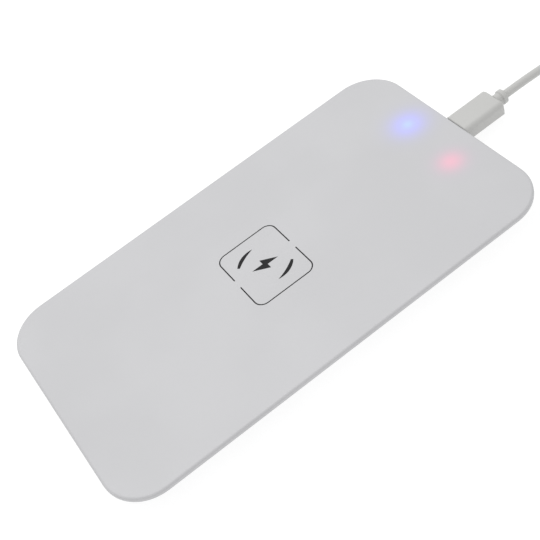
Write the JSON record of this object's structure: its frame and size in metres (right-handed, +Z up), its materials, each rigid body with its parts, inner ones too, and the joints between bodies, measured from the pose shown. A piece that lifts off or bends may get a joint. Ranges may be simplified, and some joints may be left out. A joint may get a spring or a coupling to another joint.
{
  "type": "wireless charging pad",
  "caption": "Slim rounded-rectangle wireless charging pad with soft edges, status lights, rubber feet and a plug-in USB lead wound into a tied coil.",
  "frame": {"origin": "centre of the plane that the rubber feet stand on, under the middle of the pad", "axes": "+X along the pad towards the end with the USB port, +Y across the pad, +Z up through the charging surface"},
  "size_m": [0.2516, 0.1342, 0.008],
  "materials": {
    "cover_plastic": "satin",
    "base_plastic": "fine texture",
    "mark_ink": "printed",
    "foot_rubber": "matte",
    "screw_steel": "zinc plated",
    "board_laminate": "solder mask",
    "chip_black": "moulded epoxy",
    "capacitor_ceramic": "satin",
    "inductor_core": "satin",
    "led_blue_lens": "glossy",
    "led_red_lens": "glossy",
    "shell_steel": "nickel plated",
    "socket_plastic": "moulded",
    "contact_gold": "gold plated",
    "ferrite": "dull",
    "adhesive_tape": "matte",
    "foam": "matte",
    "copper_wire": "enamelled",
    "plug_plastic": "satin",
    "relief_plastic": "satin",
    "cable_jacket": "satin",
    "tie_plastic": "matte",
    "tongue_plastic": "moulded"
  },
  "bodies": {
    "pad": {"top_cover": "cover_plastic", "bottom_cover": "base_plastic", "printed_mark": "mark_ink", "foot_1": "foot_rubber", "foot_2": "foot_rubber", "foot_3": "foot_rubber", "foot_4": "foot_rubber", "cover_screws": "screw_steel", "circuit_board": "board_laminate", "board_screws": "screw_steel", "charge_controller": "chip_black", "power_transistors": "chip_black", "resonant_capacitors": "capacitor_ceramic", "input_capacitors": "capacitor_ceramic", "filter_inductor": "inductor_core", "voltage_regulator": "chip_black", "chip_resistors": "chip_black", "led_blue": "led_blue_lens", "led_red": "led_red_lens", "usb_socket_shell": "shell_steel", "usb_socket_contacts": "contact_gold", "usb_socket_tongue": "socket_plastic", "transmitter_coil": "copper_wire", "ferrite_shield": "ferrite", "coil_tape": "adhesive_tape", "ferrite_pad": "foam", "coil_leads": "copper_wire"},
    "usb_lead": {"plug_latches": "shell_steel", "plug_shell": "shell_steel", "plug_contacts": "contact_gold", "plug_insert": "socket_plastic", "plug_overmould": "plug_plastic", "plug_strain_relief": "relief_plastic", "usb_cable": "cable_jacket", "cable_coil": "cable_jacket", "cable_tie": "tie_plastic", "usb_cable_tail": "cable_jacket", "usb_a_strain_relief": "relief_plastic", "usb_a_overmould": "plug_plastic", "usb_a_shell": "shell_steel", "usb_a_tongue": "tongue_plastic", "usb_a_contacts": "contact_gold"}
  },
  "joints": [
    {"name": "plug_slide", "type": "slide", "parent": "pad", "child": "usb_lead", "axis": [1, 0, 0], "range_m": [0, 0.012]}
  ]
}
